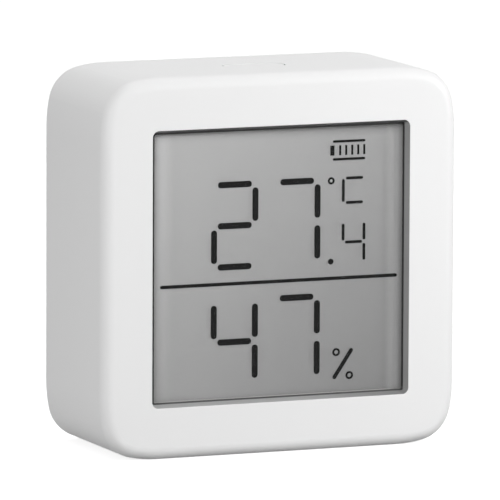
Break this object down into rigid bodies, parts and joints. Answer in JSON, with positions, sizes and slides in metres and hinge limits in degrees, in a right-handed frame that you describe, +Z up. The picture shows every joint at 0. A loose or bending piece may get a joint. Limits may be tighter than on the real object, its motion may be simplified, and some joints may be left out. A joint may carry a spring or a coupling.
{
  "type": "temperature humidity sensor",
  "caption": "Square desktop temperature and humidity meter: white rounded case, recessed grey segment display, push key on top, battery bay under a clip-on back.",
  "frame": {"origin": "on the surface that the case stands on, under the middle of the case", "axes": "+X to the right as seen from the front, +Y from the display to the back, +Z up"},
  "size_m": [0.055, 0.024, 0.055],
  "materials": {
    "case_plastic": "moulded white plastic with a fine satin finish",
    "tray_plastic": "moulded white plastic, plain",
    "holder_plastic": "moulded white plastic, plain",
    "gasket_foam": "black foam",
    "duct_foam": "dark grey foam",
    "polariser_film": "clear film with a matt face",
    "display_glass": "thin clear glass",
    "seal_glue": "cured glue",
    "segment_black": "dark display segments",
    "reflector_film": "grey reflecting film",
    "connector_rubber": "pink silicone with dark conducting layers",
    "pad_gold": "thin gold plating",
    "board_green": "glass-fibre board under green lacquer",
    "chip_black": "black moulded chip body",
    "chip_ceramic": "small fired chip bodies",
    "crystal_metal": "pressed metal lid",
    "track_copper": "copper track",
    "mesh_fabric": "fine woven mesh",
    "switch_black": "black moulded plastic",
    "stem_plastic": "moulded plastic",
    "spring_steel": "nickel-plated spring steel",
    "cell_steel": "nickel-plated steel can",
    "cell_label": "plain shrunk plastic sleeve",
    "screw_steel": "zinc-plated steel",
    "magnet_nickel": "nickel-plated magnet"
  },
  "bodies": {
    "case": {"front_housing": "case_plastic", "display_gasket": "gasket_foam", "front_polariser": "polariser_film", "display_front_glass": "display_glass", "display_edge_seal": "seal_glue", "display_segments": "segment_black", "display_rear_glass": "display_glass", "rear_reflector": "reflector_film", "display_holder": "holder_plastic", "rubber_connector": "connector_rubber", "display_pads": "pad_gold", "main_board": "board_green", "radio_chip": "chip_black", "display_driver_chip": "chip_black", "timing_crystals": "crystal_metal", "chip_components": "chip_ceramic", "antenna_track": "track_copper", "humidity_sensor": "chip_black", "sensor_gasket": "duct_foam", "vent_mesh": "mesh_fabric", "switch_base": "switch_black", "switch_dome": "spring_steel", "battery_tray": "tray_plastic", "contact_negative": "spring_steel", "contact_positive": "spring_steel", "contact_link": "spring_steel", "contact_spring_upper": "spring_steel", "contact_spring_lower": "spring_steel", "battery_cell_upper": "cell_steel", "battery_cell_lower": "cell_steel", "cell_sleeve_upper": "cell_label", "cell_sleeve_lower": "cell_label", "chassis_screws": "screw_steel"},
    "key": {"push_key": "case_plastic"},
    "stem": {"switch_stem": "stem_plastic"},
    "cover": {"rear_cover": "case_plastic", "cover_magnets": "magnet_nickel"}
  },
  "joints": [
    {"name": "key_press", "type": "slide", "parent": "case", "child": "key", "axis": [0, 0, -1], "range_m": [0, 0.0003], "stiffness_N_per_m": 1500},
    {"name": "stem_press", "type": "slide", "parent": "case", "child": "stem", "axis": [0, 0, -1], "range_m": [0, 0.0003]},
    {"name": "cover_pull", "type": "slide", "parent": "case", "child": "cover", "axis": [0, 1, 0], "range_m": [0, 0.03]}
  ],
  "couplings": [
    {"joint": "stem_press", "follows": "key_press", "ratio": 1}
  ]
}
